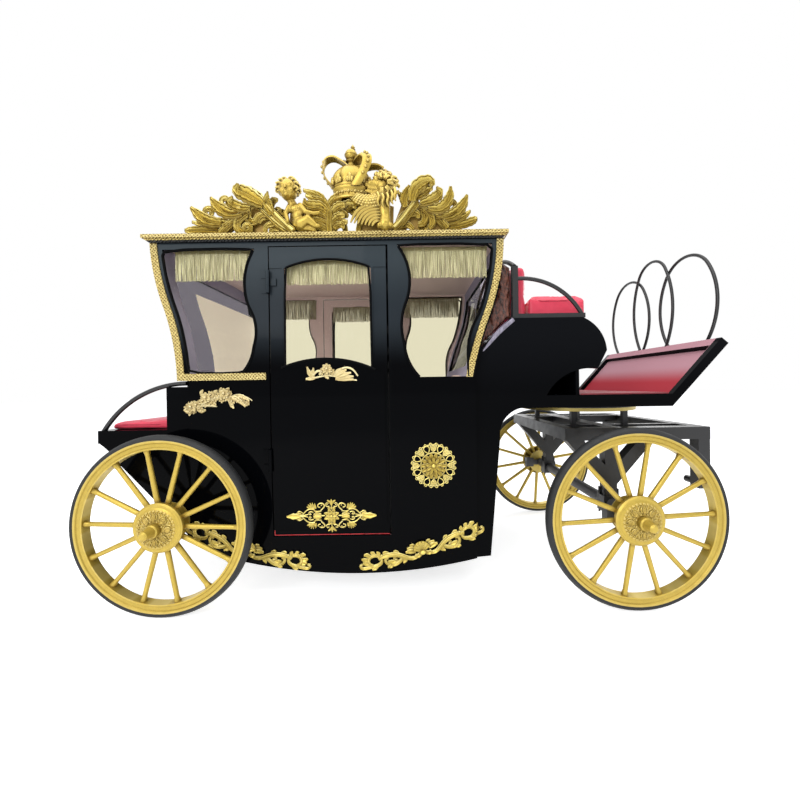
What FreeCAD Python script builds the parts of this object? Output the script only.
# Horse-drawn coronation-style carriage, built at full size in millimetres.
# Frame: X forward (towards the horses), Y to the carriage's left, Z up.
# The origin is on the ground below the centre of the bounding box.
import FreeCAD, Part
import math
import os

V = FreeCAD.Vector
PARTS = "parts"
os.makedirs(PARTS, exist_ok=True)

# ---------------------------------------------------------------- driving sizes
# Running gear
WHEEL_R = 500.0            # outside radius of the tyre
TYRE_DEPTH = 28.0          # radial thickness of the rubber
TYRE_WIDTH = 62.0
RIM_DEPTH = 50.0           # radial depth of the gilded rim
RIM_WIDTH = 54.0
SPOKES = 14
SPOKE_D_HUB = 30.0
SPOKE_D_RIM = 24.0
COLLAR_D = 36.0            # flared socket where a spoke meets the rim
COLLAR_L = 26.0
HUB_D = 104.0              # barrel of the hub
HUB_IN = 66.0              # barrel's reach inboard of the wheel's middle plane
HUB_FACE = 44.0            # outer side of the petal disc, outboard of the plane
PETAL_D = 270.0            # petal disc over the spoke roots
PETAL_T = 32.0
NOSE_REACH = 150.0         # tip of the hub nose, outboard of the plane
NOSE_D = 72.0
NOSE_TIP_D = 46.0
BRAKE_D = 210.0            # brake disc on the inboard end of the hub
BRAKE_T = 8.0
CALIPER_GAP = 8.0          # between a brake disc and its caliper
CALIPER_T = 16.0           # each jaw
CALIPER_HALF = 40.0        # half height
SPINDLE_D = 40.0
SPINDLE_PLAY = 0.5         # radial play of the hub on its spindle
SPINDLE_REACH = 50.0       # spindle's reach outboard of the wheel's plane
WHEEL_OFFSET = 110.0       # wheels' middle planes outboard of the cabin's sides
REAR_AXLE_X = -1385.0
FRONT_AXLE_X = 1225.0
AXLE_BEAM = 60.0           # square rear axle
AXLE_TUBE_D = 70.0         # round front axle
AXLE_HOLE_PLAY = 8.0       # round the axle where it leaves the boot
HUB_PLAY = 6.0             # between a hub's end and the axle's shoulder

# Cabin
WALL = 28.0                # thickness of the cabin's sides
END_WALL = 26.0            # thickness of the front and rear walls
HALF_W = 640.0             # half width at and above the belt
TUMBLE_FOOT = 40.0         # how far the sides draw in at their foot
TUMBLE_MID = 8.0           # and half-way up to the belt
MID_Z = 720.0              # height of that half-way point
FOOT_Z = 150.0
BELT_Z = 1297.0
EAVES_Z = 2098.0           # top of the cabin's sides
REAR_BELT_X = -1363.0
FRONT_BELT_X = 356.0
REAR_LOW_X = -1300.0       # rear of the cabin below the belt
FRONT_LOW_X = 372.0        # front of the cabin's sides below the belt
FLOOR_Z = 372.0            # top of the cabin floor
FLOOR_T = 20.0
BELLY_T = 16.0

# Doors
DOOR_X0 = -822.0
DOOR_X1 = -142.0
DOOR_Z0 = 378.0
DOOR_Z1 = 2068.0
DOOR_GAP = 6.0             # at the hinge edge, the sill and the head
DOOR_SWING_GAP = 11.0      # at the closing edge
HINGE_OUT = 14.0           # hinge axis outboard of the side
HINGE_D = 22.0
HINGE_L = 132.0
HINGE_PIN_D = 9.0
HINGE_PLAY = 0.5
HINGE_Z = (760.0, 1798.0)  # foot of each hinge
PANEL_PROUD = 9.0          # raised lower door panel

# Glass and gilding
GLASS_T = 5.0
GLASS_IN = 12.0            # from the outer face of the wall to the glass
GLASS_LAP = 10.0           # how far the glass sits in its rebate
TRIM_W = 40.0
TRIM_T = 7.0

# Roof
ROOF_X0 = -1535.0
ROOF_X1 = 565.0
ROOF_OVERHANG = 45.0       # beyond the cabin's sides
COVE_H = 18.0
BAND_H = 20.0
ROOF_CROWN = 45.0          # rise of the roof's middle over its edge

# Rear boot and footman's seat
BODY_STEP = 40.0           # the boot and the neck stand in from the cabin's sides
BOOT_T = 18.0
BOOT_TAIL_X = -1875.0
SEAT_BACK_X = -1459.0
SEAT_Z = 1008.0
SEAT_BOARD_T = 76.0
BOOT_TOP_Z = 1262.0
RAIL_D = 26.0
RAIL_IN = 28.0             # handrails in from the boot's sides

# Driver's box
NECK_T = 28.0
NECK_FOOT_X = 455.0
PLATFORM_Z = 1180.0
PLATFORM_T = 74.0
PLATFORM_X1 = 1548.0
TOE_TOP_X = 1869.0
TOE_TOP_Z = 1490.0
TOE_T = 52.0
BOX_TOP_Z = 1643.0
SEAT_PLY = 22.0            # boards of the driver's seat box
DRIVER_CUSHION_T = 147.0
BACK_H = 342.0             # driver's back rest at its sides, above the box
BACK_RISE = 100.0          # more in the middle
SEAT_POST_H = 314.0        # posts of the back rest, above the box
SEAT_TUBE = 34.0
ARM_D = 24.0
HOOP_D = 20.0
HOOP_FOOT_SHARE = 0.6       # spread of a hoop's feet over its widest

# Turntable and fore-carriage
TURN_X = 1250.0
RING_R = 372.0
RING_W = 40.0
RING_T = 22.0
RING_PLAY = 0.4
FRAME_TUBE = 75.0
FRAME_Y = 500.0
FRAME_X0 = 935.0
FRAME_X1 = 1822.0
FRAME_Z1 = 972.0
FORK_REACH = 275.0         # brackets' reach along the frame, each way from the axle
KINGPIN_D = 44.0
BOLT_D = 12.0              # bolts that clamp the axle to its brackets
LEG_FOOT_Z = 592.0
SOCKET_D = 44.0
SOCKET_BORE = 24.0
SOCKET_L = 70.0
STEER_LIMIT = 18.0

# Widths that follow from the cabin's
HALF_W_FOOT = HALF_W - TUMBLE_FOOT
HALF_W_MID = HALF_W - TUMBLE_MID
TRACK = 2 * (HALF_W + WHEEL_OFFSET)
ROOF_HALF_W = HALF_W + ROOF_OVERHANG
BOOT_HALF_W = HALF_W - BODY_STEP
NECK_HALF_W = HALF_W - BODY_STEP
RAIL_Y = BOOT_HALF_W - RAIL_IN

MADE = []


# ---------------------------------------------------------------- helpers
def place(plane, a, b):
    """A point of a sketch plane in space."""
    if plane == "xz":
        return V(a, 0, b)
    if plane == "yz":
        return V(0, a, b)
    return V(a, b, 0)


def face(plane, start, steps):
    """A flat face: a step (a, b) is a line, a step (am, bm, a, b) an arc."""
    edges = []
    here = place(plane, *start)
    for step in list(steps) + [start]:
        end = place(plane, *step[-2:])
        if len(step) == 4:
            mid = place(plane, *step[:2])
            edges.append(Part.Arc(here, mid, end).toShape())
        elif (end - here).Length > 1e-6:
            edges.append(Part.LineSegment(here, end).toShape())
        here = end
    return Part.Face(Part.Wire(edges))


def across(shape_face, y0, y1):
    """Extrude an XZ face from y0 to y1."""
    moved = shape_face.copy()
    moved.translate(V(0, y0, 0))
    return moved.extrude(V(0, y1 - y0, 0))


def along(shape_face, x0, x1):
    """Extrude a YZ face from x0 to x1."""
    moved = shape_face.copy()
    moved.translate(V(x0, 0, 0))
    return moved.extrude(V(x1 - x0, 0, 0))


def box(x0, x1, y0, y1, z0, z1):
    return Part.makeBox(x1 - x0, y1 - y0, z1 - z0, V(x0, y0, z0))


def rod(p, q, d):
    axis = V(*q) - V(*p)
    return Part.makeCylinder(d / 2.0, axis.Length, V(*p), axis)


def mirror(shape):
    """The same piece on the other side of the carriage."""
    return shape.mirror(V(0, 0, 0), V(0, 1, 0))


def fuse(*shapes):
    body = shapes[0]
    if len(shapes) > 1:
        body = body.fuse(list(shapes[1:]))
    return body.removeSplitter()


def tube_path(points, d):
    """A round bar along a path of lines and arcs, given as for face()."""
    edges = []
    here = V(*points[0])
    for step in points[1:]:
        end = V(*step[-3:])
        if len(step) == 6:
            edges.append(Part.Arc(here, V(*step[:3]), end).toShape())
        else:
            edges.append(Part.LineSegment(here, end).toShape())
        here = end
    path = Part.Wire(edges)
    first = edges[0]
    tangent = first.tangentAt(first.FirstParameter)
    ring = Part.Wire(Part.Circle(V(*points[0]), tangent, d / 2.0).toShape())
    return path.makePipeShell([ring], True, False)


def save(name, *shapes):
    body = shapes[0] if len(shapes) == 1 else Part.makeCompound(list(shapes))
    if not body.isValid():
        print("INVALID", name)
    body.exportStep(f"{PARTS}/{name}.step")
    MADE.append((name, len(body.Solids), body.Volume))


# ---------------------------------------------------------------- outlines
# Corner posts of the cabin above the belt: each flares outwards to the roof
# in two arcs.  Columns: arc middle x, z; arc end x, z.
REAR_POST = [(-1382.0, 1505.0, -1430.0, 1705.0),
             (-1486.0, 1900.0, -1512.0, EAVES_Z)]
FRONT_POST = [(396.0, 1465.0, 462.0, 1660.0),
              (522.0, 1872.0, 546.0, EAVES_Z)]


def shift(steps, dx):
    """The same steps moved along X."""
    out = []
    for step in steps:
        out.append(tuple(v + dx if i % 2 == 0 else v for i, v in enumerate(step)))
    return out


def upper_outline(inset=0.0, z0=BELT_Z, z1=EAVES_Z):
    """The cabin's side above the belt, its posts moved in by an inset."""
    rear = shift(REAR_POST, inset)
    front = shift(FRONT_POST, -inset)
    start = (REAR_BELT_X + inset, BELT_Z)
    front_down = [(front[1][0], front[1][1], front[0][2], front[0][3]),
                  (front[0][0], front[0][1], FRONT_BELT_X - inset, BELT_Z)]
    body = face("xz", start, rear + [front[1][2:]] + front_down)
    slab = across(body, -1, 1)
    return slab.common(box(-3000, 3000, -2, 2, z0, z1))


BELLY = [(-1078.0, 238.0), (-480.0, 152.0, NECK_FOOT_X, 233.0)]
BOOT_FOOT_Z = 336.0         # the belly where it meets the boot


def side_section(thick=WALL, outer=0.0):
    """Cross-section of the left side wall: its thickness and how far its
    outside stands out from the cabin's side."""
    o = outer
    t = thick - outer
    return face("yz", (HALF_W_FOOT + o, FOOT_Z - 20),
                [(HALF_W_MID + o, MID_Z, HALF_W + o, BELT_Z),
                 (HALF_W + o, EAVES_Z), (HALF_W - t, EAVES_Z), (HALF_W - t, BELT_Z),
                 (HALF_W_MID - t, MID_Z, HALF_W_FOOT - t, FOOT_Z - 20)])


def lower_outline():
    """The cabin's side below the belt."""
    return face("xz", (REAR_LOW_X, BELT_Z),
                [(REAR_LOW_X, BOOT_FOOT_Z), BELLY[0], (-560.0, 150.0, FRONT_LOW_X, 222.0),
                 (FRONT_LOW_X, BELT_Z)])


def door_outline(grow_hinge=0.0, grow_close=0.0, grow_z=0.0):
    return face("xz", (DOOR_X0 - grow_hinge, DOOR_Z0 - grow_z),
                [(DOOR_X1 + grow_close, DOOR_Z0 - grow_z),
                 (DOOR_X1 + grow_close, DOOR_Z1 + grow_z),
                 (DOOR_X0 - grow_hinge, DOOR_Z1 + grow_z)])


# Quarter windows: an S-shaped edge towards the door, the post's curve outside.
WINDOW_SILL_Z = 1338.0
WINDOW_HEAD_Z = 2062.0
POST_FRAME = 66.0           # gilded edge and black frame outside the glass


def rear_window():
    rear = shift(REAR_POST, POST_FRAME)
    z_cut = box(-3000, 3000, -2, 2, WINDOW_SILL_Z, WINDOW_HEAD_Z)
    body = face("xz", (REAR_BELT_X + POST_FRAME, BELT_Z),
                rear + [(-880.0, EAVES_Z), (-962.0, 1915.0, -944.0, 1725.0),
                        (-903.0, 1592.0, -918.0, 1490.0),
                        (-938.0, 1412.0, -1000.0, 1325.0), (-1000.0, BELT_Z)])
    return across(body, -1, 1).common(z_cut)


def front_window():
    front = shift(FRONT_POST, -POST_FRAME)
    z_cut = box(-3000, 3000, -2, 2, 1300.0, WINDOW_HEAD_Z + 12)
    body = face("xz", (60.0, BELT_Z - 10),
                [(-12.0, 1385.0, -40.0, 1500.0), (-54.0, 1615.0, -32.0, 1725.0),
                 (-6.0, 1905.0, -98.0, EAVES_Z), front[1][2:],
                 (front[1][0], front[1][1], front[0][2], front[0][3]),
                 (front[0][0], front[0][1], 330.0, 1400.0), (330.0, BELT_Z - 10)])
    return across(body, -1, 1).common(z_cut)


def slab_face(slab):
    """The XZ face of a thin slab centred on y = 0, as a face at y = 0."""
    for f in slab.Faces:
        if abs(f.CenterOfMass.y + 1) < 1e-6:
            out = f.copy()
            out.translate(V(0, 1, 0))
            return out


def offset_face(f, d):
    """The face grown (or shrunk) by d in its own plane, with round corners."""
    return f.makeOffset2D(d)


DOOR_WIN_X0 = DOOR_X0 + 86.0
DOOR_WIN_X1 = DOOR_X1 - 88.0
DOOR_WIN_SILL_Z = 1300.0
DOOR_WIN_SPRING_Z = 1944.0
DOOR_WIN_TOP_Z = 1994.0


def door_window():
    mid = (DOOR_WIN_X0 + DOOR_WIN_X1) / 2.0
    return face("xz", (DOOR_WIN_X0, DOOR_WIN_SILL_Z),
                [(DOOR_WIN_X0, DOOR_WIN_SPRING_Z),
                 (mid, DOOR_WIN_TOP_Z, DOOR_WIN_X1, DOOR_WIN_SPRING_Z),
                 (DOOR_WIN_X1, DOOR_WIN_SILL_Z)])


# ---------------------------------------------------------------- cabin shell
def rebate(wall, opening):
    """A pocket in the wall's inside for a pane that laps its opening."""
    return wall.cut(across(offset_face(opening, GLASS_LAP), 400, HALF_W - GLASS_IN))


def pane(opening):
    grown = offset_face(opening, GLASS_LAP)
    return across(grown, HALF_W - GLASS_IN - GLASS_T, HALF_W - GLASS_IN)


def cabin_side():
    """The left side: one wall with its window and door openings."""
    section = along(side_section(), -1700, 800)
    upper = section.common(across(slab_face(upper_outline()), 400, 800))
    lower = section.common(across(lower_outline(), 400, 800))
    wall = fuse(upper, lower)
    for opening in QUARTER_WINDOWS:
        wall = rebate(wall.cut(across(opening, 400, 800)), opening)
    return wall.cut(across(door_outline(DOOR_GAP, DOOR_SWING_GAP, DOOR_GAP), 400, 800))


HINGE_X = DOOR_X0 - DOOR_GAP / 2.0
HINGE_Y = HALF_W + HINGE_OUT


def hinge_piece(z0, z1, on_door):
    """A knuckle between two heights, with the leaf that screws to its panel."""
    turn = 1 if on_door else -1
    knuckle = Part.makeCylinder(HINGE_D / 2, z1 - z0, V(HINGE_X, HINGE_Y, z0))
    leaf_x = sorted((HINGE_X + turn * 4, HINGE_X + turn * 44))
    web_x = sorted((HINGE_X + turn * 4, HINGE_X + turn * 9))
    leaf = box(leaf_x[0], leaf_x[1], HALF_W - 16, HALF_W + 4, z0, z1)
    web = box(web_x[0], web_x[1], HALF_W - 2, HINGE_Y, z0, z1)
    return fuse(knuckle, leaf, web)


def hinges(on_door):
    """The left door's hinges: outer thirds on the side with the pin, the
    middle third on the door."""
    third = HINGE_L / 3.0
    solids = []
    for z0 in HINGE_Z:
        if on_door:
            bore = Part.makeCylinder(HINGE_PIN_D / 2 + HINGE_PLAY, HINGE_L,
                                     V(HINGE_X, HINGE_Y, z0))
            middle = hinge_piece(z0 + third + HINGE_PLAY, z0 + 2 * third - HINGE_PLAY, True)
            solids.append(middle.cut(bore))
        else:
            pin = Part.makeCylinder(HINGE_PIN_D / 2, HINGE_L, V(HINGE_X, HINGE_Y, z0))
            solids.append(fuse(pin, hinge_piece(z0, z0 + third, False),
                               hinge_piece(z0 + 2 * third, z0 + HINGE_L, False)))
    return solids


END_INSET = 8.0             # end walls set in from the sides' edges
END_HALF = HALF_W - WALL
END_WIN_HALF = END_HALF - 110.0
END_WIN_Z = (WINDOW_SILL_Z + 30.0, WINDOW_HEAD_Z - 60.0)


def end_skin(post, belt_x, sign, depth, thick, half):
    """A curved transverse sheet that follows its corner posts.  sign is the
    way its outside faces, depth how far it lies inside the posts' edge."""
    outer = shift(post, -sign * depth)
    inner = shift(post, -sign * (depth + thick))
    start = (belt_x - sign * depth, BELT_Z)
    steps = outer + [(inner[1][2], EAVES_Z),
                     (inner[1][0], inner[1][1], inner[0][2], inner[0][3]),
                     (inner[0][0], inner[0][1], belt_x - sign * (depth + thick), BELT_Z)]
    return across(face("xz", start, steps), -half, half)


def end_window(y_half):
    return box(-3000, 3000, -y_half, y_half, END_WIN_Z[0], END_WIN_Z[1])


LOW_HALF = HALF_W_FOOT - WALL - 4


def belly_pan():
    """The bowed sheet that closes the cabin from below."""
    sheet = face("xz", (REAR_LOW_X, BOOT_FOOT_Z),
                 [BELLY[0], BELLY[1], (NECK_FOOT_X, BELLY[1][3] + BELLY_T),
                  (BELLY[1][0], BELLY[1][1] + BELLY_T, BELLY[0][0], BELLY[0][1] + BELLY_T),
                  (REAR_LOW_X, BOOT_FOOT_Z + BELLY_T)])
    return across(sheet, -LOW_HALF, LOW_HALF)


def build_cabin():
    left = fuse(cabin_side(), *hinges(on_door=False))
    save("cabin_side_left", left)
    save("cabin_side_right", mirror(left))

    rear = end_skin(REAR_POST, REAR_BELT_X, -1, END_INSET, END_WALL, END_HALF)
    low = box(REAR_LOW_X, REAR_LOW_X + END_WALL, -LOW_HALF, LOW_HALF,
              BOOT_FOOT_Z + BELLY_T + 4, BELT_Z)
    shelf = box(REAR_BELT_X + END_INSET, REAR_LOW_X + END_WALL, -LOW_HALF, LOW_HALF,
                BOOT_TOP_Z, BELT_Z)
    save("cabin_rear_wall", fuse(rear.cut(end_window(END_WIN_HALF)), low, shelf))
    front = end_skin(FRONT_POST, FRONT_BELT_X, 1, END_INSET, END_WALL, END_HALF)
    save("cabin_front_wall", front.cut(end_window(END_WIN_HALF)))

    save("belly_pan", belly_pan())
    save("cabin_floor", box(REAR_LOW_X + END_WALL, FRONT_LOW_X, -LOW_HALF, LOW_HALF,
                            FLOOR_Z - FLOOR_T, FLOOR_Z))


def build_glass():
    panes = [pane(opening) for opening in QUARTER_WINDOWS]
    panes += [mirror(p) for p in panes]
    depth = END_INSET + (END_WALL - GLASS_T) / 2.0
    for post, belt_x, sign in ((REAR_POST, REAR_BELT_X, -1), (FRONT_POST, FRONT_BELT_X, 1)):
        skin = end_skin(post, belt_x, sign, depth, GLASS_T, END_WIN_HALF)
        panes.append(skin.common(end_window(END_WIN_HALF)))
    save("cabin_glass", *panes)


def build_trim():
    """Gilded strips up the corner posts and below the rear quarter window."""
    whole = across(slab_face(upper_outline()), HALF_W, HALF_W + TRIM_T)
    inside = across(slab_face(upper_outline(TRIM_W)), HALF_W - 5, HALF_W + 20)
    posts = whole.cut(inside)
    sill = box(REAR_BELT_X, DOOR_X0 - DOOR_GAP - 20, HALF_W, HALF_W + TRIM_T,
               BELT_Z, BELT_Z + TRIM_W)
    rear = fuse(posts.common(box(-3000, -500, 0, 2000, 0, 3000)), sill)
    front = posts.common(box(0, 3000, 0, 2000, 0, 3000))
    save("window_trim", rear, front, mirror(rear), mirror(front))


# ---------------------------------------------------------------- roof
ROOF_EDGE = 30.0            # width of the cornice moulding
ROOF_TOP_Z = EAVES_Z + COVE_H + BAND_H


def roof_rectangle(inset, z):
    x0, x1, y = ROOF_X0 + inset, ROOF_X1 - inset, ROOF_HALF_W - inset
    return Part.makePolygon([V(x0, -y, z), V(x1, -y, z), V(x1, y, z), V(x0, y, z),
                             V(x0, -y, z)])


def roof_panel():
    y = ROOF_HALF_W - ROOF_EDGE
    slab = face("yz", (-y, EAVES_Z), [(y, EAVES_Z), (y, ROOF_TOP_Z),
                                      (0.0, ROOF_TOP_Z + ROOF_CROWN, -y, ROOF_TOP_Z)])
    return along(slab, ROOF_X0 + ROOF_EDGE, ROOF_X1 - ROOF_EDGE)


def build_roof():
    y = ROOF_HALF_W - ROOF_EDGE
    save("roof_panel", roof_panel())
    cove = Part.makeLoft([roof_rectangle(ROOF_EDGE - 2, EAVES_Z),
                          roof_rectangle(6, EAVES_Z + COVE_H)], True, True)
    band = box(ROOF_X0, ROOF_X1, -ROOF_HALF_W, ROOF_HALF_W, EAVES_Z + COVE_H, ROOF_TOP_Z)
    hole = box(ROOF_X0 + ROOF_EDGE, ROOF_X1 - ROOF_EDGE, -y, y, EAVES_Z - 9, ROOF_TOP_Z + 9)
    save("roof_cornice", fuse(cove, band).cut(hole))


# ---------------------------------------------------------------- roof crest
# Each crest is one carved plank on the roof's edge.  Heights in the tables
# below are above the roof's edge, ROOF_TOP_Z.
CREST_Y = ROOF_HALF_W - ROOF_EDGE   # middle plane of the carved crest
CREST_T = 46.0
CREST_X0 = -1290.0
CREST_X1 = 390.0
CREST_RAIL_H = 22.0         # plain foot that the scrolls grow from
SCROLL_T = 26.0             # thickness of the plates behind the leaves
CROWN_X = -331.0
CROWN_HALF = 104.0          # half width of the crown's band
CROWN_OVAL = 0.6            # its depth over its width
CROWN_BAND_Z = 182.0        # foot of the band
CROWN_BAND_H = 85.0
CROWN_TOP_Z = 2654.0        # tip of the finial, above the ground
ARCH_D = 24.0
ORB_R = 34.0

# Plates that carry the leaves: points of the outline, from foot to foot.
SCROLL_PLATES = [
    [(-1110, 0), (-1100, 30), (-1040, 78), (-960, 134), (-880, 182), (-838, 202), (-768, 160),
     (-640, 20), (-640, 0)],
    [(-110, 0), (-60, 104), (-36, 194), (20, 209), (60, 184), (110, 149), (190, 89), (225, 30),
     (225, 0)],
    [(-720, 0), (-700, 164), (-640, 164), (-560, 94), (-520, 164), (-470, 194), (-380, 200),
     (-290, 184), (-150, 194), (-80, 164), (-90, 0)]]

# Openings between the stems.  Columns: x, height of the middle, half
# length, half height.
SCROLL_OPENINGS = [(-985, 52, 34, 30), (-820, 56, 30, 34), (-905, 92, 26, 26), (150, 54, 30, 28),
                   (68, 92, 24, 30), (-2, 50, 22, 26), (-345, 58, 32, 34)]

# Leaves.  Columns: root x and height, widest place x and height, half width
# there, tip x and height, how far it stands before the plates.
LEAVES = [(-1060, 22, -1202, 34, 19, -1286, 26, 4), (-1050, 44, -1189, 65, 15, -1242, 73, 8),
          (-1025, 66, -1171, 87, 29, -1244, 151, 10), (-945, 118, -1077, 143, 29, -1127, 202, 14),
          (-895, 140, -995, 164, 24, -999, 202, 16), (-815, 156, -927, 221, 38, -965, 270, 20),
          (-833, 172, -890, 234, 21, -902, 258, 12), (-783, 112, -811, 191, 22, -800, 226, 18),
          (190, 22, 326, 51, 19, 388, 69, 4), (190, 44, 314, 88, 15, 349, 112, 8),
          (170, 70, 276, 114, 28, 331, 197, 10), (95, 126, 207, 152, 28, 236, 242, 14),
          (50, 150, 151, 191, 26, 156, 239, 16), (17, 165, 62, 250, 28, 112, 282, 22),
          (-23, 138, -15, 220, 22, 2, 251, 16), (-470, 154, -550, 227, 16, -602, 242, 8),
          (-467, 107, -550, 157, 24, -595, 188, 12), (-464, 50, -542, 102, 15, -583, 100, 8),
          (-455, 90, -401, 156, 19, -364, 153, 8), (-464, 135, -420, 201, 16, -383, 194, 10)]

# Ribbed stems.  Columns: foot x and height, top x and height, diameter.
STEMS = [(-665, 10, -895, 214, 24), (-1086, 12, -880, 168, 22), (-91, 20, 52, 196, 24),
         (217, 24, 40, 152, 22), (-460, 8, -480, 178, 22)]

# The seated child and the lion.  Columns: x, height, diameter of each joint.
CHILD = [[(-685, 236, 112)], [(-683, 190, 52), (-668, 136, 84), (-658, 82, 86), (-652, 52, 84)],
         [(-645, 44, 60), (-590, 54, 48), (-540, 30, 34)],
         [(-640, 146, 42), (-600, 96, 34), (-525, 94, 24)]]
LION = [[(-150, 248, 96), (-205, 256, 56), (-256, 264, 34)],
        [(-160, 216, 60), (-246, 214, 26)], [(-120, 206, 92), (-128, 110, 60), (-134, 34, 66)],
        [(-325, 184, 46), (-285, 160, 62), (-215, 154, 74), (-140, 176, 84)]]


def crest_plate(points, t):
    return across(face("xz", points[0], points[1:]), CREST_Y - t / 2, CREST_Y + t / 2)


def leaf(x0, z0, xm, zm, half, x1, z1, lift):
    """A carved leaf: two arcs from its root to its tip."""
    run = V(x1 - x0, 0, z1 - z0).normalize()
    side_x, side_z = -run.z * half, run.x * half
    shape = face("xz", (x0, z0), [(xm + side_x, zm + side_z, x1, z1),
                                  (xm - side_x, zm - side_z, x0, z0)])
    return across(shape, CREST_Y - CREST_T / 4, CREST_Y + SCROLL_T / 2 + lift)


def jointed(joints):
    """A body of balls joined by tapering limbs."""
    lumps = []
    for (x, z, d), following in zip(joints, joints[1:] + [None]):
        lumps.append(Part.makeSphere(d / 2, V(x, CREST_Y, z)))
        if following:
            axis = V(following[0] - x, 0, following[1] - z)
            lumps.append(Part.makeCone(d / 2, following[2] / 2, axis.Length,
                                       V(x, CREST_Y, z), axis))
    return lumps


def crown():
    """Closed crown: oval band, cap, three arches that swell out, orb and finial."""
    oval = Part.Ellipse(V(CROWN_X, CREST_Y, CROWN_BAND_Z), CROWN_HALF, CROWN_HALF * CROWN_OVAL)
    band = Part.Face(Part.Wire(oval.toShape())).extrude(V(0, 0, CROWN_BAND_H))
    rim = CROWN_BAND_Z + CROWN_BAND_H
    top = CROWN_TOP_Z - ROOF_TOP_Z
    cap = Part.makeSphere(CROWN_HALF * CROWN_OVAL + 14, V(CROWN_X, CREST_Y, rim + 22))
    pieces = [band, cap]
    meeting = (CROWN_X - 6, CREST_Y, top - 104)
    # Columns: foot x and y from the crown's middle, bulge x, y and height above the rim
    for foot_x, foot_y, out_x, out_y, out_z in ((-92, 0, -178, 0, 85), (90, 0, 165, 0, 48),
                                                (36, 46, 52, 90, 98)):
        start = (CROWN_X + foot_x, CREST_Y + foot_y, rim - 10)
        pieces.append(tube_path([start, (CROWN_X + out_x, CREST_Y + out_y, rim + out_z, *meeting)],
                                ARCH_D))
    pieces.append(rod((CROWN_X, CREST_Y, rim), (CROWN_X, CREST_Y, top - 90), ARCH_D + 6))
    pieces.append(Part.makeSphere(ORB_R, V(CROWN_X - 10, CREST_Y, top - 72)))
    pieces.append(Part.makeCone(13, 2, 50, V(CROWN_X - 2, CREST_Y, top - 50), V(0, 0, 1)))
    return pieces


def crest():
    """The left crest: leaf scrolls, a seated child, the crown and a lion."""
    pieces = [box(CREST_X0, CREST_X1, CREST_Y - CREST_T / 2, CREST_Y + CREST_T / 2,
                  0, CREST_RAIL_H)]
    for outline in SCROLL_PLATES:
        pieces.append(crest_plate(outline, SCROLL_T))
    carved = fuse(*pieces)
    for x, z, half_x, half_z in SCROLL_OPENINGS:
        tall = half_z > half_x
        oval = Part.Ellipse(V(x, z, 0), max(half_x, half_z), min(half_x, half_z))
        hole = Part.Face(Part.Wire(oval.toShape()))
        if tall:
            hole.rotate(V(x, z, 0), V(0, 0, 1), 90)
        hole.rotate(V(0, 0, 0), V(1, 0, 0), 90)
        carved = carved.cut(across(hole, CREST_Y - CREST_T, CREST_Y + CREST_T))
    grown = [leaf(*row) for row in LEAVES]
    grown += [rod((x0, CREST_Y, z0), (x1, CREST_Y, z1), d) for x0, z0, x1, z1, d in STEMS]
    for joints in CHILD + LION:
        grown += jointed(joints)
    for shape in grown + crown():
        carved = carved.fuse(shape)
    carved = carved.removeSplitter()
    carved.translate(V(0, 0, ROOF_TOP_Z))
    return carved.cut(roof_panel())


def build_crest():
    left = crest()
    save("crest_left", left)
    save("crest_right", mirror(left))


# ---------------------------------------------------------------- doors
STILE_STEP = 4.0               # stiles beside the window stand behind the head board
STILE_FOOT_Z = 1420.0
HEAD_BOARD_Z = 1945.0
WINDOW_BEAD = 12.0             # raised bead left round the window


def door():
    """The left door: leaf, head board, raised lower panel with an arched head, knuckles."""
    leaf = along(side_section(), -1700, 800).common(across(door_outline(), 400, 800))
    opening = door_window()
    for x0, x1 in ((DOOR_X0 - 1, DOOR_WIN_X0 - WINDOW_BEAD),
                   (DOOR_WIN_X1 + WINDOW_BEAD, DOOR_X1 + 1)):
        leaf = leaf.cut(box(x0, x1, HALF_W - STILE_STEP, HALF_W + 5,
                            STILE_FOOT_Z, HEAD_BOARD_Z))
    leaf = rebate(leaf.cut(across(opening, 400, 800)), opening)
    mid = (DOOR_X0 + DOOR_X1) / 2.0
    arch = face("xz", (DOOR_X0 + 10, DOOR_Z0 + 56),
                [(DOOR_X0 + 10, 1338.0), (mid, 1414.0, DOOR_X1 - 14, 1318.0),
                 (DOOR_X1 - 14, DOOR_Z0 + 56)])
    raised = along(side_section(PANEL_PROUD + GLASS_IN - 2, PANEL_PROUD), -1700, 800)
    return fuse(leaf, raised.common(across(arch, 400, 800)))


def build_doors():
    left = fuse(door(), *hinges(on_door=True))
    save("door_left", left)
    save("door_right", mirror(left))
    glass = pane(door_window())
    save("door_glass_left", glass)
    save("door_glass_right", mirror(glass))


# ---------------------------------------------------------------- inside
BENCH_Z = 700.0
BENCH_HALF = LOW_HALF - 8.0
CUSHION_T = 100.0
BENCH_BACK_Z = 1330.0


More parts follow.
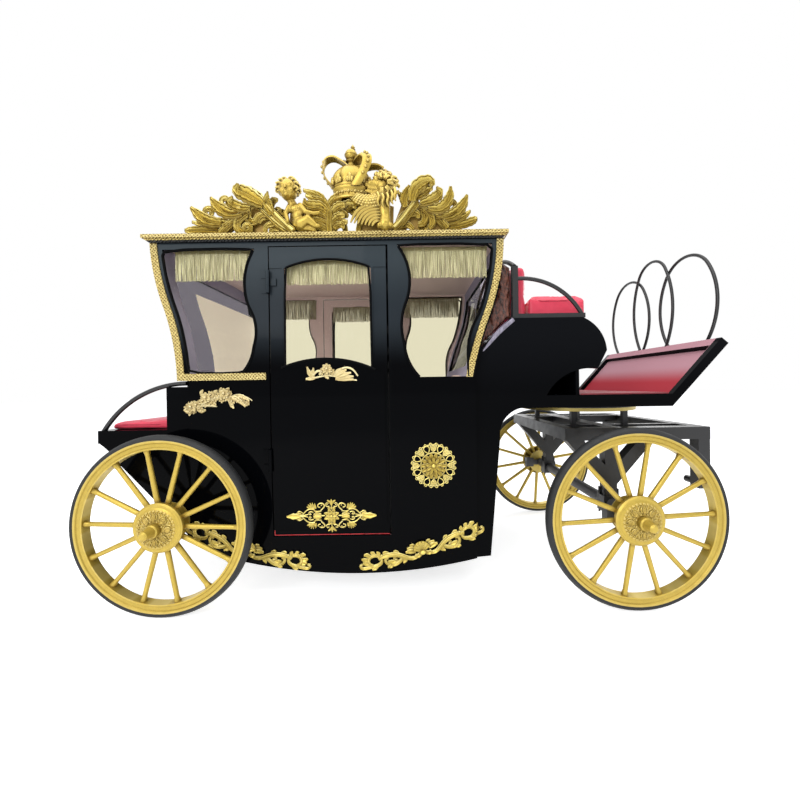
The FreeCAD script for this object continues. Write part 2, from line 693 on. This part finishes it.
def build_inside():
    rear_x0 = REAR_LOW_X + END_WALL
    rear_x1 = rear_x0 + 430.0
    front_x1 = FRONT_BELT_X - END_WALL - END_INSET
    front_x0 = front_x1 - 390.0
    boxes = [box(rear_x0, rear_x1, -BENCH_HALF, BENCH_HALF, FLOOR_Z, BENCH_Z),
             box(front_x0, front_x1, -BENCH_HALF, BENCH_HALF, FLOOR_Z, BENCH_Z)]
    save("benches", *boxes)
    cushions = [box(rear_x0 + 90, rear_x1 + 15, -BENCH_HALF, BENCH_HALF,
                    BENCH_Z + 0.5, BENCH_Z + CUSHION_T),
                box(front_x0 - 15, front_x1 - 90, -BENCH_HALF, BENCH_HALF,
                    BENCH_Z + 0.5, BENCH_Z + CUSHION_T)]
    save("bench_cushions", *[c.makeFillet(24, c.Edges) for c in cushions])
    backs = [box(rear_x0 + 1, rear_x0 + 88, -BENCH_HALF + 20, BENCH_HALF - 20,
                 BENCH_Z + 0.5, BENCH_BACK_Z),
             box(front_x1 - 88, front_x1 - 1, -BENCH_HALF + 20, BENCH_HALF - 20,
                 BENCH_Z + 0.5, BENCH_BACK_Z)]
    save("bench_backs", *[b.makeFillet(24, b.Edges) for b in backs])


FRINGE_DROP = 185.0
FRINGE_T = 12.0


def build_fringes():
    """Pelmets inside the heads of the windows, on the cabin and on the doors."""
    y1 = HALF_W - WALL - 3
    top = WINDOW_HEAD_Z + 6
    spans = [(-1390.0, DOOR_X0 - DOOR_GAP - 60), (DOOR_X1 + 80, 456.0)]
    sides = [box(a, b, y1 - FRINGE_T, y1, top - FRINGE_DROP, top) for a, b in spans]
    sides += [mirror(s) for s in sides]
    save("fringes", *sides)
    mid_top = DOOR_WIN_TOP_Z + 4
    on_door = box(DOOR_WIN_X0 + 4, DOOR_WIN_X1 - 4, y1 - FRINGE_T, y1,
                  mid_top - FRINGE_DROP + 40, mid_top)
    save("door_fringe_left", on_door)
    save("door_fringe_right", mirror(on_door))


# ---------------------------------------------------------------- rear
TAIL_UNDER_Z = SEAT_Z - SEAT_BOARD_T


def boot_outline():
    return face("xz", (REAR_LOW_X, BOOT_TOP_Z),
                [(SEAT_BACK_X, BOOT_TOP_Z), (SEAT_BACK_X, TAIL_UNDER_Z),
                 (BOOT_TAIL_X + 14, TAIL_UNDER_Z),
                 (-1792.0, 870.0, -1738.0, 800.0), (-1530.0, 582.0, REAR_LOW_X, BOOT_FOOT_Z)])


def rear_rail():
    """A quarter-round rail from the tail of the seat up to the cabin's belt,
    level where it meets the cabin."""
    x0, z0 = BOOT_TAIL_X + 18, SEAT_Z - 6
    x1, z1 = REAR_BELT_X + END_INSET, BOOT_TOP_Z + RAIL_D / 2 + 8
    radius = ((x1 - x0) ** 2 + (z1 - z0) ** 2) / (2 * (z1 - z0))
    turn = math.asin((x1 - x0) / radius) / 2
    mid = (x1 - radius * math.sin(turn), z1 - radius + radius * math.cos(turn))
    return tube_path([(x0, RAIL_Y, z0), (mid[0], RAIL_Y, mid[1], x1, RAIL_Y, z1)], RAIL_D)


def build_rear():
    outline = boot_outline()
    shell = across(outline, -BOOT_HALF_W, BOOT_HALF_W)
    inner = across(offset_face(outline, -BOOT_T), -BOOT_HALF_W + BOOT_T, BOOT_HALF_W - BOOT_T)
    hole_d = AXLE_BEAM * math.sqrt(2) + 2 * AXLE_HOLE_PLAY
    hole = rod((REAR_AXLE_X, -TRACK, WHEEL_R), (REAR_AXLE_X, TRACK, WHEEL_R), hole_d)
    save("rear_boot", shell.cut(inner).cut(hole))
    board = box(BOOT_TAIL_X, SEAT_BACK_X, -BOOT_HALF_W, BOOT_HALF_W, TAIL_UNDER_Z, SEAT_Z)
    save("rear_seat_board", board.makeFillet(9, [e for e in board.Edges
                                                 if e.BoundBox.XMax < BOOT_TAIL_X + 1]))
    wedge = face("xz", (BOOT_TAIL_X + 15, SEAT_Z + 0.5),
                 [(SEAT_BACK_X - 8, SEAT_Z + 0.5), (SEAT_BACK_X - 8, SEAT_Z + 56),
                  (BOOT_TAIL_X + 30, SEAT_Z + 36)])
    cushion = across(wedge, -RAIL_Y + 30, RAIL_Y - 30)
    save("rear_seat_cushion", cushion.makeFillet(12, cushion.Edges))
    rail = rear_rail().cut([board, shell])
    save("rear_handrails", rail, mirror(rail))


# ---------------------------------------------------------------- driver's box
NECK_FRONT = [(NECK_FOOT_X, 233.0), (520.0, 930.0), (548.0, 1042.0, 640.0, 1106.0)]
PLATFORM_X0 = 700.0
PLATFORM_FOOT_Z = PLATFORM_Z - PLATFORM_T
SADDLE_X = 592.0            # where the neck's slope meets the driver's seat
SLOPE_X = 384.0             # foot of the slope, on the cabin's front wall
SLOPE_Z = 1440.0
SEAT_POST_X = 610.0
SEAT_BOARD_X1 = 1040.0
CHEEK_T = 26.0


def neck_side():
    """The left side of the neck and of the driver's box, in one panel."""
    outline = face("xz", (FRONT_LOW_X, 226.0),
                   NECK_FRONT + [(PLATFORM_X0, PLATFORM_FOOT_Z), (PLATFORM_X0, PLATFORM_Z),
                                 (800.0, PLATFORM_Z), (900.0, 1290.0, 1106.0, 1335.0),
                                 (1162.0, 1444.0), (1118.0, 1566.0, 1020.0, BOX_TOP_Z),
                                 (SADDLE_X, BOX_TOP_Z), (SLOPE_X, SLOPE_Z), (FRONT_LOW_X, 1310.0)])
    return across(outline, NECK_HALF_W - NECK_T, NECK_HALF_W)


def neck_panels():
    """The curved front panel under the driver and the slope behind the seat."""
    half = NECK_HALF_W - NECK_T
    t = 20.0
    front = face("xz", (NECK_FOOT_X, 233.0),
                 NECK_FRONT[1:] + [(PLATFORM_X0, PLATFORM_FOOT_Z),
                                   (PLATFORM_X0, PLATFORM_FOOT_Z + t),
                                   (634.0, PLATFORM_FOOT_Z + t),
                                   (530.0, 1056.0, 520.0 - t, 934.0), (NECK_FOOT_X - t, 233.0)])
    slope = face("xz", (SLOPE_X, SLOPE_Z),
                 [(SADDLE_X, BOX_TOP_Z), (SADDLE_X, BOX_TOP_Z - 28), (SLOPE_X, SLOPE_Z - 28)])
    return [across(front, -half, half).cut(belly_pan()), across(slope, -half, half)]


def toe_board():
    """Sloping dash board in its frame, recessed on the driver's side."""
    outline = face("xz", (PLATFORM_X1, PLATFORM_FOOT_Z),
                   [(TOE_TOP_X + 16, TOE_TOP_Z - 14), (TOE_TOP_X - 24, TOE_TOP_Z + 20),
                    (PLATFORM_X1, PLATFORM_Z)])
    recess = face("xz", (PLATFORM_X1 + 10, PLATFORM_Z - 40),
                  [(TOE_TOP_X - 40, TOE_TOP_Z - 46), (TOE_TOP_X - 74, TOE_TOP_Z - 10),
                   (PLATFORM_X1 - 20, PLATFORM_Z + 10)])
    board = across(outline, -NECK_HALF_W, NECK_HALF_W)
    return board.cut(across(recess, -NECK_HALF_W + 40, NECK_HALF_W - 40))


def build_driver():
    side = neck_side()
    save("neck_sides", side, mirror(side))
    save("neck_panels", *neck_panels())
    half = NECK_HALF_W - NECK_T
    cheek_z = BOX_TOP_Z + SEAT_POST_H
    cheek_face = face("xz", (SLOPE_X, SLOPE_Z), [(SADDLE_X, BOX_TOP_Z), (SEAT_POST_X, BOX_TOP_Z),
                                                 (SEAT_POST_X, cheek_z), (560.0, cheek_z + 33),
                                                 (500.0, cheek_z + 33), (SLOPE_X, 1600.0)])
    cabin_front = across(slab_face(upper_outline(END_INSET)), -900, 900)
    cheek = across(cheek_face, half - CHEEK_T, half).cut(cabin_front)
    save("seat_cheeks", cheek, mirror(cheek))

    deck = box(PLATFORM_X0, PLATFORM_X1, -NECK_HALF_W, NECK_HALF_W, PLATFORM_FOOT_Z, PLATFORM_Z)
    # pockets between the bearers under the deck; columns: y0, y1
    for y0, y1 in ((-560, -330), (-290, 290), (330, 560)):
        for x0, x1 in ((PLATFORM_X0 + 40, TURN_X - 50), (TURN_X + 50, PLATFORM_X1 - 40)):
            deck = deck.cut(box(x0, x1, y0, y1, PLATFORM_FOOT_Z - 5, PLATFORM_Z - 22))
    bore = Part.makeCylinder(KINGPIN_D / 2 + RING_PLAY, PLATFORM_T - 18,
                             V(TURN_X, 0, PLATFORM_FOOT_Z))
    save("driver_platform", deck.cut(bore))
    save("toe_board", toe_board())
    ring = Part.makeCylinder(RING_R + RING_W / 2, RING_T,
                             V(TURN_X, 0, PLATFORM_FOOT_Z - RING_T))
    ring = ring.cut(Part.makeCylinder(RING_R - RING_W / 2, RING_T,
                                      V(TURN_X, 0, PLATFORM_FOOT_Z - RING_T)))
    save("turntable_upper", ring)
    mat = box(SEAT_BOARD_X1 - 28, PLATFORM_X1 - 8, -NECK_HALF_W + 20, NECK_HALF_W - 20,
              PLATFORM_Z + 0.3, PLATFORM_Z + 8)
    save("driver_carpet", mat)
    seat = box(SADDLE_X, SEAT_BOARD_X1, -half, half, BOX_TOP_Z - SEAT_PLY, BOX_TOP_Z)
    riser_x = SEAT_BOARD_X1 - 32
    riser = box(riser_x - SEAT_PLY, riser_x, -half, half, PLATFORM_Z, BOX_TOP_Z - SEAT_PLY)
    save("driver_seat_box", fuse(seat, riser))
    cushion = box(SEAT_POST_X + 108, SEAT_BOARD_X1 + 60, -half + 36, half - 36,
                  BOX_TOP_Z + 0.5, BOX_TOP_Z + DRIVER_CUSHION_T)
    save("driver_seat_cushion", cushion.makeFillet(30, cushion.Edges))
    back_y = half - 42
    back_z = BOX_TOP_Z + BACK_H
    back = along(face("yz", (-back_y, BOX_TOP_Z + 0.5),
                      [(back_y, BOX_TOP_Z + 0.5), (back_y, back_z),
                       (0.0, back_z + BACK_RISE, -back_y, back_z)]),
                 SEAT_POST_X + SEAT_TUBE + 2, SEAT_POST_X + 104)
    save("driver_seat_back", back.makeFillet(26, back.Edges))

    y, x0, post_z = half, SEAT_POST_X, BOX_TOP_Z + SEAT_POST_H
    rail = box(x0, SEAT_BOARD_X1 + 4, y - 15, y + 15, BOX_TOP_Z, BOX_TOP_Z + 28)
    post = box(x0, x0 + SEAT_TUBE, y - SEAT_TUBE / 2, y + SEAT_TUBE / 2, BOX_TOP_Z, post_z)
    arm = tube_path([(x0 + 20, y, post_z - 73), (x0 + 262, y, post_z - 127,
                                                 SEAT_BOARD_X1 - 10, y, BOX_TOP_Z + 20)], ARM_D)
    frame = fuse(rail, post, arm)
    save("driver_arms", frame, mirror(frame))
    arch_x = x0 + SEAT_TUBE / 2
    arch = tube_path([(arch_x, -y, post_z), (arch_x, 0.0, post_z + 165, arch_x, y, post_z)], 28)
    save("driver_back_arch", arch.cut(frame).cut(mirror(frame)))


HOOP_X = TOE_TOP_X + 2.0
HOOP_FOOT_Z = TOE_TOP_Z - 12.0
# Dash hoops, seen from the front; the middle one stands behind the others.
# Columns: name, x behind the front, y0 and y1 of the widest, top z.
HOOPS = [("dash_hoop_right", 0.0, -545.0, -60.0, 2096.0),
         ("dash_hoop_middle", HOOP_D + 1.0, -212.0, 212.0, 2166.0),
         ("dash_hoop_left", 0.0, 60.0, 545.0, 2096.0)]


def hoop(back, y0, y1, top):
    """An upright oval hoop in three arcs, its legs drawn in towards the foot."""
    mid, half_w, x = (y0 + y1) / 2, (y1 - y0) / 2, HOOP_X - back
    wide_z = (HOOP_FOOT_Z + top) / 2
    shoulder_y = half_w * math.sqrt(0.5)
    shoulder_z = wide_z + (top - wide_z) * math.sqrt(0.5)
    foot_y = half_w * HOOP_FOOT_SHARE
    return tube_path([(x, mid - foot_y, HOOP_FOOT_Z),
                      (x, y0, wide_z, x, mid - shoulder_y, shoulder_z),
                      (x, mid, top, x, mid + shoulder_y, shoulder_z),
                      (x, y1, wide_z, x, mid + foot_y, HOOP_FOOT_Z)], HOOP_D)


def build_hoops():
    for name, back, y0, y1, top in HOOPS:
        save(name, hoop(back, y0, y1, top).cut(toe_board()))


# ---------------------------------------------------------------- running gear
AXLE_END = TRACK / 2 - HUB_IN - BRAKE_T - HUB_PLAY


def calipers(x):
    """The two brake calipers of the axle at x, each with the arm that holds it."""
    disc_y = TRACK / 2 - HUB_IN - BRAKE_T / 2
    gap = BRAKE_T / 2 + CALIPER_GAP
    bridge_x = x - BRAKE_D / 2 - CALIPER_GAP
    y0, y1 = disc_y - gap - CALIPER_T, disc_y + gap + CALIPER_T
    jaw = box(bridge_x - 24, x - BRAKE_D / 2 + 34, y0, y1,
              WHEEL_R - CALIPER_HALF, WHEEL_R + CALIPER_HALF)
    slot = box(bridge_x, x, disc_y - gap, disc_y + gap, WHEEL_R - 99, WHEEL_R + 99)
    arm = box(x - BRAKE_D / 2, x, y0, y0 + CALIPER_T - 4, WHEEL_R - 22, WHEEL_R + 22)
    left = fuse(jaw.cut(slot), arm)
    return [left, mirror(left)]


def build_axles():
    half = AXLE_BEAM / 2
    x, z = REAR_AXLE_X, WHEEL_R
    beam = box(x - half, x + half, -AXLE_END, AXLE_END, z - half, z + half)
    spindle = rod((x, -TRACK / 2 - SPINDLE_REACH, z), (x, TRACK / 2 + SPINDLE_REACH, z), SPINDLE_D)
    plates = [box(x - 45, x + 45, y - 6, y + 6, z, BOOT_TOP_Z - BOOT_T) for y in (-400, 400)]
    save("rear_axle", fuse(beam, spindle, *plates, *calipers(x)))
    x = FRONT_AXLE_X
    tube = rod((x, -AXLE_END, z), (x, AXLE_END, z), AXLE_TUBE_D)
    spindle = rod((x, -TRACK / 2 - SPINDLE_REACH, z), (x, TRACK / 2 + SPINDLE_REACH, z), SPINDLE_D)
    save("front_axle", fuse(tube, spindle, *calipers(x)))


def build_fore_carriage():
    t = FRAME_TUBE
    z1, z0 = FRAME_Z1, FRAME_Z1 - t
    pieces = []
    for side in (-1, 1):
        pieces.append(box(FRAME_X0, FRAME_X1, side * FRAME_Y - t / 2, side * FRAME_Y + t / 2, z0, z1))
        pieces.append(box(FRAME_X1 - 70, FRAME_X1, side * FRAME_Y - 35, side * FRAME_Y + 35,
                          LEG_FOOT_Z, z0))
        pieces.append(box(FRAME_X0, FRAME_X1, side * 330 - 20, side * 330 + 20, z1 - 40, z1))
        inner = side * (FRAME_Y - 35 - SOCKET_L)
        outer = side * (FRAME_Y - 20)
        pieces.append(rod((FRAME_X1 - 35, inner, LEG_FOOT_Z + 28),
                          (FRAME_X1 - 35, outer, LEG_FOOT_Z + 28), SOCKET_D))
    for x0, x1 in ((FRAME_X0, FRAME_X0 + t), (TURN_X - 45, TURN_X + 45), (FRAME_X1 - t, FRAME_X1)):
        pieces.append(box(x0, x1, -FRAME_Y, FRAME_Y, z0, z1))
    frame = fuse(*pieces)
    for side in (-1, 1):
        frame = frame.cut(rod((FRAME_X1 - 35, side * 300, LEG_FOOT_Z + 28),
                              (FRAME_X1 - 35, side * 700, LEG_FOOT_Z + 28), SOCKET_BORE))
    save("fore_frame", frame)

    brackets = []
    x, half_t = FRONT_AXLE_X, t / 2 - 2
    foot = WHEEL_R + AXLE_TUBE_D / 2
    for side in (-1, 1):
        y0, y1 = sorted((side * (FRAME_Y - 55), side * (FRAME_Y + 15)))
        fork = face("xz", (x - FORK_REACH, z0),
                    [(x - FORK_REACH + 97, z0), (x, foot + 165), (x + FORK_REACH - 97, z0),
                     (x + FORK_REACH, z0), (x + half_t, foot + 87), (x + half_t, foot),
                     (x - half_t, foot), (x - half_t, foot + 87)])
        fork = across(fork, y0, y1)
        leg = box(x - half_t, x + half_t, y0, y1, foot, z0)
        clamp = box(x - 50, x + 50, y0 - 6, y1 + 6, WHEEL_R - 50, WHEEL_R + 50)
        bolts = [rod((bx, by, WHEEL_R - 66), (bx, by, WHEEL_R + 92), BOLT_D)
                 for bx in (x - 42, x + 42) for by in (y0 + 6, y1 - 6)]
        tube = rod((x, -TRACK, WHEEL_R), (x, TRACK, WHEEL_R), AXLE_TUBE_D)
        brackets.append(fuse(fork, leg, clamp, *bolts).cut(tube))
    save("fore_axle_brackets", *brackets)

    ring_z1 = PLATFORM_FOOT_Z - RING_T - RING_PLAY
    ring = Part.makeCylinder(RING_R + RING_W / 2, RING_T, V(TURN_X, 0, ring_z1 - RING_T))
    ring = ring.cut(Part.makeCylinder(RING_R - RING_W / 2, RING_T, V(TURN_X, 0, ring_z1 - RING_T)))
    save("turntable_lower", ring)
    posts = []
    for sx in (-1, 1):
        for sy in (-1, 1):
            posts.append(box(TURN_X + sx * 172 - 16, TURN_X + sx * 172 + 16,
                             sy * 330 - 16, sy * 330 + 16, z1, ring_z1 - RING_T))
    pin = Part.makeCylinder(KINGPIN_D / 2, PLATFORM_FOOT_Z + 46 - z1, V(TURN_X, 0, z1))
    save("turntable_posts", pin, *posts)


def wheel_profile(points):
    """A ring about the Y axis from a half section of (y, radius) steps."""
    half = face("yz", points[0], points[1:])
    return half.revolve(V(0, 0, 0), V(0, 1, 0), 360)


def tyre():
    foot = WHEEL_R - TYRE_DEPTH
    w = TYRE_WIDTH / 2
    return wheel_profile([(-w + 3, foot), (-w, foot + 12), (0.0, WHEEL_R, w, foot + 12),
                          (w - 3, foot)])


def wheel(phase):
    """Left wheel about the origin: rim, spokes, hub, petal disc, nose, brake disc."""
    r1 = WHEEL_R - TYRE_DEPTH
    w = RIM_WIDTH / 2
    rim = wheel_profile([(-w, r1), (-w, r1 - 13), (-w + 5, r1 - 17), (-w + 5, r1 - RIM_DEPTH + 13),
                         (-w + 1, r1 - RIM_DEPTH + 9), (-w + 1, r1 - RIM_DEPTH),
                         (w - 1, r1 - RIM_DEPTH), (w - 1, r1 - RIM_DEPTH + 9),
                         (w - 5, r1 - RIM_DEPTH + 13), (w - 5, r1 - 17), (w, r1 - 13), (w, r1)])
    hub = wheel_profile([(-HUB_IN, SPINDLE_D / 2 + SPINDLE_PLAY), (-HUB_IN, HUB_D / 2),
                         (HUB_FACE - PETAL_T, HUB_D / 2), (HUB_FACE - PETAL_T, PETAL_D / 2 - 4),
                         (HUB_FACE - 8, PETAL_D / 2), (HUB_FACE, PETAL_D / 2 - 9),
                         (HUB_FACE, PETAL_D / 2 - 22), (HUB_FACE + 6, PETAL_D / 2 - 34),
                         (HUB_FACE + 10, 58.0), (HUB_FACE + 16, 56.0), (HUB_FACE + 18, NOSE_D / 2),
                         (HUB_FACE + 44, NOSE_D / 2), (HUB_FACE + 50, NOSE_D / 2 - 6),
                         (NOSE_REACH - 8, NOSE_TIP_D / 2), (NOSE_REACH, NOSE_TIP_D / 2 - 8),
                         (NOSE_REACH, 0.0), (SPINDLE_REACH + 4, 0.0),
                         (SPINDLE_REACH + 4, SPINDLE_D / 2 + SPINDLE_PLAY)])
    disc = wheel_profile([(-HUB_IN - BRAKE_T, SPINDLE_D / 2 + 8), (-HUB_IN - BRAKE_T, BRAKE_D / 2),
                          (-HUB_IN, BRAKE_D / 2), (-HUB_IN, SPINDLE_D / 2 + 8)])
    spokes = []
    root, tip = HUB_D / 2 - 8, r1 - RIM_DEPTH + 4
    for i in range(SPOKES):
        a = math.radians(phase + 360.0 * i / SPOKES)
        out = V(math.cos(a), 0, math.sin(a))
        spokes.append(Part.makeCone(SPOKE_D_HUB / 2, SPOKE_D_RIM / 2, tip - root, out * root, out))
        spokes.append(Part.makeCone(SPOKE_D_RIM / 2, COLLAR_D / 2, COLLAR_L,
                                    out * (tip - 4 - COLLAR_L), out))
    return fuse(rim, hub, disc, *spokes)


# Wheels.  Columns: name, x of the axle, side (1 left), angle of the first spoke.
WHEELS = [("front_right", FRONT_AXLE_X, -1, 3.0), ("front_left", FRONT_AXLE_X, 1, 9.0),
          ("rear_right", REAR_AXLE_X, -1, -2.0), ("rear_left", REAR_AXLE_X, 1, 6.0)]


def build_wheels():
    rubber = tyre()
    for name, x, side, phase in WHEELS:
        at = V(x, side * TRACK / 2, WHEEL_R)
        for part, piece in (("tyre", rubber), ("wheel", wheel(phase))):
            body = piece.copy() if side > 0 else mirror(piece)
            body.translate(at)
            save(f"{part}_{name}", body)


QUARTER_WINDOWS = [slab_face(rear_window()), slab_face(front_window())]
build_cabin()
build_glass()
build_trim()
build_roof()
build_crest()
build_doors()
build_inside()
build_fringes()
build_rear()
build_driver()
build_hoops()
build_axles()
build_fore_carriage()
build_wheels()
for name, count, volume in MADE:
    print(f"{name:22s} {count:3d} solids {volume / 1e6:9.2f} litres")
